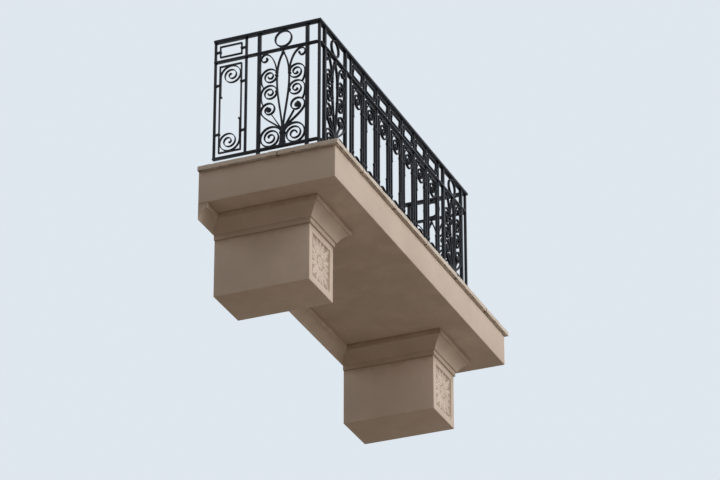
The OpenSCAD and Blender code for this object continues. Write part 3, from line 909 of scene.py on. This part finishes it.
def moulding_outline(bm, below, centre, turn, turns, above):
    """Draws a moulding's outline in millimetres, with X outwards and Z up: the points below its hollow,
    the hollow, which is spun from the last of them about its centre, and the points above.
    Gives the outline's first and last vertex."""
    low_run = [bm.verts.new((x * MM, 0, z * MM)) for x, z in below]
    spun = bmesh.ops.spin(bm, geom=low_run[-1:], cent=(centre[0] * MM, 0, centre[1] * MM), axis=(0, 1, 0),
                          dvec=(0, 0, 0), angle=math.radians(turn), steps=turns)
    high_run = fresh_verts(spun["geom_last"]) + [bm.verts.new((x * MM, 0, z * MM)) for x, z in above]
    for run in (low_run, high_run):
        for pair in zip(run, run[1:]):
            bm.edges.new(pair)
    return low_run[0], high_run[-1]


def cornice(node):
    """The moulding along the wall: a hollow that rises upright from its foot, under an overhanging band.
    Its back is let in a little, so that it runs on inside the crowns without sharing a face with them."""
    lo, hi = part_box(node)
    out, tall = mm(-lo.y), mm(hi.z - lo.z)
    band_low = tall - 36.0
    foot = 4.0
    ledge = 9.0
    let_in = 1.5
    reach = out - ledge - foot
    sweep_r = (reach ** 2 + band_low ** 2) / (2 * reach)
    sweep_turn = math.degrees(math.asin(band_low / sweep_r))
    bm = bmesh.new()
    first, last = moulding_outline(
        bm, [(let_in, 0), (foot, 0)], (foot + sweep_r, 0), sweep_turn, 16,
        [(out - arris, band_low), (out, band_low + arris), (out, tall - arris), (out - arris, tall),
         (let_in, tall)])
    bm.edges.new((last, first))
    bmesh.ops.edgeloop_fill(bm, edges=bm.edges[:])
    stand = Matrix.Translation((lo.x, 0, lo.z)) @ Matrix.Rotation(math.radians(-90), 4, "Z")
    bmesh.ops.transform(bm, matrix=stand, verts=bm.verts)
    grown = bmesh.ops.extrude_face_region(bm, geom=bm.faces[:])["geom"]
    bmesh.ops.translate(bm, vec=(hi.x - lo.x, 0, 0), verts=fresh_verts(grown))
    add_piece("moulded_" + node, bm, cornice_stucco, [node], sharp=28)


for node in ("left_cornice", "middle_cornice", "right_cornice"):
    cornice(node)


def corbel(node):
    """A square corbel with a sunk panel in its front, its edges softened by coats of paint."""
    lo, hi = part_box(node)
    panel_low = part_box(node.replace("corbel", "carved_panel"))[0]
    bm = bmesh.new()
    cube_between(bm, lo, hi)
    front = min(bm.faces, key=lambda f: f.calc_center_median().y)
    bmesh.ops.inset_region(bm, faces=[front], thickness=panel_low.x - lo.x, depth=0, use_even_offset=True)
    bmesh.ops.inset_region(bm, faces=[front], thickness=0.0025, depth=-0.016, use_even_offset=True)
    soften(bm, [e for e in bm.edges if len(e.link_faces) == 2 and e.calc_face_angle(0) > 0.6], 0.0022)
    add_piece("plastered_" + node, bm, corbel_stucco, [node])


def crown(node, body):
    """The crown's moulding, run round three sides of a corbel and mitred at its corners.
    Its sizes are in millimetres: X is 0 on the corbel's side, and the hollow is part of a circle."""
    lo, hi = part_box(node)
    body_low, body_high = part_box(body)
    half, deep = (body_high.x - body_low.x) / 2, -body_low.y
    middle = mm(-half)
    out = 82.0
    tall = 132.0
    step_out = 9.0
    step_h = 30.0
    band_low = 96.0
    hollow_r = 125.0
    hollow_middle = (135.7, -12.2)
    start = math.radians(159)
    below = [(middle, 0), (0, 0), (step_out - arris, 0), (step_out, arris), (step_out, step_h - arris),
             (step_out + arris, step_h), (2 * step_out - arris, step_h), (2 * step_out, step_h + arris),
             off(hollow_middle, hollow_r * math.cos(start), hollow_r * math.sin(start))]
    above = [(out - step_out, band_low), (out - arris, band_low), (out, band_low + arris),
             (out, tall - arris), (out - arris, tall), (0, tall), (middle, tall)]
    bm = bmesh.new()
    moulding_outline(bm, below, hollow_middle, 36, 12, above)
    chain = bm.edges[:]
    # The outline is set against the wall on the left, then drawn to the front corner, across and back
    to_left = Matrix.Translation((-half, 0, 0)) @ Matrix.Diagonal((-1, 1, 1, 1))
    to_corner = Matrix(((1, 0, 0, 0), (1, 0, 0, half - deep), (0, 0, 1, 0), (0, 0, 0, 1)))
    across = Matrix.Diagonal((-1, 1, 1, 1))
    to_wall = Matrix.Diagonal((1, 0, 1, 1))
    bmesh.ops.transform(bm, matrix=to_left, verts=bm.verts)
    for move in (to_corner, across, to_wall):
        verts, chain = draw_out(bm, chain)
        bmesh.ops.transform(bm, matrix=move, verts=verts)
    bmesh.ops.remove_doubles(bm, verts=bm.verts, dist=1e-6)
    bmesh.ops.holes_fill(bm, edges=[e for e in bm.edges if e.is_boundary], sides=0)
    bmesh.ops.translate(bm, vec=((lo.x + hi.x) / 2, 0, lo.z), verts=bm.verts)
    add_piece("moulded_" + node, bm, crown_stucco, [node], sharp=28)


for side in ("left", "right"):
    corbel(side + "_corbel")
    crown(side + "_crown", side + "_corbel")


# Carved panels

# One half of the carving in millimetres: each leaf's foot, the way it points in degrees, its length,
# half its width and its height
leaves = (
    ((16, 18), 47, 134, 27, 8.5), ((16, -18), -47, 134, 27, 8.5),
    ((0, 34), 90, 102, 22, 9.0), ((0, -34), -90, 102, 22, 9.0),
    ((34, 0), 0, 91, 21, 8.0), ((14, 38), 70, 104, 20, 6.0), ((14, -38), -70, 104, 20, 6.0),
    ((36, 14), 23, 96, 18, 5.5), ((36, -14), -23, 96, 18, 5.5))


def leaf_height(u, v, foot, angle, length, wide, high):
    """Height of one carved leaf at a point of the panel: a domed blade, a midrib and side veins."""
    lobes = 4
    least = 0.12
    a = math.radians(angle)
    du, dv = u - foot[0], v - foot[1]
    s = (du * math.cos(a) + dv * math.sin(a)) / length
    t = -du * math.sin(a) + dv * math.cos(a)
    if not 0 < s < 1:
        return 0.0
    scallop = 0.84 + 0.16 * math.cos(math.tau * lobes * s)
    half = wide * math.sin(math.pi * s ** 1.05) ** 0.62 * scallop
    if abs(t) >= half:
        return 0.0
    across = abs(t) / half
    dome = (1 - across ** 2.4) ** 0.5
    rib = 0.30 * math.exp(-(t / 1.6) ** 2)
    vein = 0.12 * math.cos(math.tau * lobes * (s - 0.35 * across))
    sag = 0.16 * (s - 0.5) ** 2
    return high * max(least, dome * (0.72 + vein) + rib - sag)


def rosette_height(u, v, middle, radius, petals, high):
    """Height of a rosette at a point of the panel: a ball in the middle of notched petals."""
    ball = 0.26
    du, dv = u - middle[0], v - middle[1]
    r = math.hypot(du, dv) / radius
    if r >= 1:
        return 0.0
    petal = abs(math.cos(petals * math.atan2(dv, du) / 2))
    edge = 0.74 + 0.26 * petal ** 0.6
    if r < ball:
        return high * (0.72 + 0.28 * math.sqrt(1 - (r / ball) ** 2))
    if r >= edge:
        return 0.0
    swell = math.sin(math.pi * min(1, (r - 0.2) / (edge - 0.2))) ** 0.6
    return high * (0.30 + 0.55 * petal ** 0.7 * swell)


def panel_height(u, v):
    """The carving's height in millimetres above its ground. It is the same left and right."""
    cleared = 44
    u = abs(u)
    h = 0.0
    for leaf in leaves:
        h = max(h, leaf_height(u, v, *leaf))
    if math.hypot(u, v) < cleared:
        h = rosette_height(u, v, (0, 0), 42, 8, 10.0)
    for corner_flower in ((114, -125), (114, 125)):
        h = max(h, rosette_height(u, v, corner_flower, 12, 5, 5.5))
    return h


def carve(node):
    """The carved panel: a fine grid raised by the height of the ornament, and closed at its back.
    The attribute hollow, which paints shade into the carving, is strongest on the ground and gone where the
    carving stands 3 mm above it."""
    ground = 5.5
    lo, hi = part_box(node)
    wide, tall = hi.x - lo.x, hi.z - lo.z
    bm = bmesh.new()
    bmesh.ops.create_grid(bm, x_segments=150, y_segments=164, size=0.5)
    hollow = bm.verts.layers.float.new("hollow")
    for vert in bm.verts:
        u, v = vert.co.x * mm(wide), vert.co.y * mm(tall)
        h = panel_height(u, v)
        broad = 0.25 * noise.noise(Vector((u, v, 3.0)) * 0.12)
        fine = 0.12 * noise.noise(Vector((u, v, 9.0)) * 0.5)
        vert.co.z = (ground + h + broad + fine) * MM
        vert[hollow] = 0.6 * max(0.0, min(1.0, 1 - h / 3.0))
    bmesh.ops.scale(bm, vec=(wide, tall, 1), verts=bm.verts)
    rim, rim_edges = draw_out(bm, [e for e in bm.edges if e.is_boundary])
    for vert in rim:
        vert.co.z = 0
    bmesh.ops.holes_fill(bm, edges=rim_edges, sides=0)
    stand = Matrix(((1, 0, 0, (lo.x + hi.x) / 2), (0, 0, -1, hi.y), (0, 1, 0, (lo.z + hi.z) / 2),
                    (0, 0, 0, 1)))
    bmesh.ops.transform(bm, matrix=stand, verts=bm.verts)
    add_piece("flower_" + node, bm, carved_stucco, [node], sharp=70)


carve("left_carved_panel")
carve("right_carved_panel")


# Floor, backdrop, lamps and camera

def plain_floor():
    """A plain pale floor far below, as the balcony hangs high. Light bounces off it as off a street."""
    bm = bmesh.new()
    bmesh.ops.create_grid(bm, x_segments=1, y_segments=1, size=400)
    bmesh.ops.translate(bm, vec=(0, 0, -22.5), verts=bm.verts)
    mesh = bpy.data.meshes.new("floor")
    bm.to_mesh(mesh)
    bm.free()
    floor = bpy.data.objects.new("floor", mesh)
    scene.collection.objects.link(floor)
    m, tree, skin = start_material("pale_floor", 0.2, 0.9)
    patch = ramp(tree, speckle(tree, object_place(tree), 0.4), 0.3, 0.7)
    pale = blend_colour(tree, patch, (0.71, 0.775, 0.835), (0.75, 0.815, 0.875))
    street = blend_colour(tree, patch, (0.38, 0.32, 0.26), (0.40, 0.34, 0.28))
    rays = put(tree, "ShaderNodeLightPath")
    seen = reckon(tree, "MAXIMUM", rays.outputs["Is Camera Ray"], rays.outputs["Is Glossy Ray"])
    tree.links.new(blend_colour(tree, seen, street, pale), skin.inputs["Base Color"])
    tree.links.new(pale, skin.inputs["Emission Color"])
    tree.links.new(times(tree, seen, 0.51), skin.inputs["Emission Strength"])
    mesh.materials.append(m)
    floor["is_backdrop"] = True


def light_world():
    """A weak warm sky, which the camera and reflections see as a plain pale backdrop."""
    world = bpy.data.worlds.new("studio")
    scene.world = world
    world.use_nodes = True
    tree = world.node_tree
    tree.nodes.clear()
    lit = put(tree, "ShaderNodeBackground", {"Color": (1.0, 0.88, 0.82, 1), "Strength": 0.15})
    backdrop = put(tree, "ShaderNodeBackground", {"Color": (0.74, 0.80, 0.86, 1), "Strength": 1.0})
    rays = put(tree, "ShaderNodeLightPath")
    seen = reckon(tree, "MAXIMUM", rays.outputs["Is Camera Ray"], rays.outputs["Is Glossy Ray"])
    seen = reckon(tree, "MAXIMUM", seen, rays.outputs["Is Transmission Ray"])
    mix = put(tree, "ShaderNodeMixShader")
    tree.links.new(seen, mix.inputs[0])
    tree.links.new(lit.outputs[0], mix.inputs[1])
    tree.links.new(backdrop.outputs[0], mix.inputs[2])
    tree.links.new(mix.outputs[0], put(tree, "ShaderNodeOutputWorld").inputs["Surface"])


def hold(name, data, place, towards):
    """Puts a lamp or a camera in the scene, and points it."""
    holder = bpy.data.objects.new(name, data)
    scene.collection.objects.link(holder)
    holder.location = place
    holder.rotation_mode = "QUATERNION"
    holder.rotation_quaternion = Vector(towards).to_track_quat("-Z", "Y")
    return holder


def sun(name, towards, strength, spread, colour):
    """A soft, far lamp that shines along towards. spread is its width in degrees."""
    lamp = bpy.data.lights.new(name, "SUN")
    lamp.energy = strength
    lamp.angle = math.radians(spread)
    lamp.color = colour
    hold(name, lamp, (0, 0, 0), towards)


def street_glow(place, watts, colour):
    """A broad lamp low in front, like the light that a street sends back up."""
    lamp = bpy.data.lights.new("street_glow", "AREA")
    lamp.shape = "RECTANGLE"
    lamp.size = 14
    lamp.size_y = 4
    lamp.energy = watts
    lamp.color = colour
    holder = hold("street_glow", lamp, place, -Vector(place))
    holder.visible_camera = False


plain_floor()
light_world()
sun("key", towards=(-0.06, 0.91, -0.40), strength=1.95, spread=45, colour=(1.0, 0.985, 0.965))
street_glow(place=(1.0, -17, -8.5), watts=340, colour=(1.0, 0.90, 0.80))
sun("fill", towards=(0.80, 0.35, -0.10), strength=0.16, spread=50, colour=(1.0, 0.84, 0.78))
sun("back", towards=(0.2, -0.9, -0.35), strength=0.70, spread=50, colour=(1.0, 0.98, 0.95))

eye = bpy.data.cameras.new("street_camera")
eye.sensor_width = 36
eye.lens = 178
eye.clip_end = 200
standpoint = Vector((-17.61, -7.87, -9.70))
balcony_middle = Vector((0.0, -0.44, 0.22))
scene.camera = hold("street_camera", eye, standpoint, balcony_middle - standpoint)
scene.view_settings.view_transform = "Standard"

low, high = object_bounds()
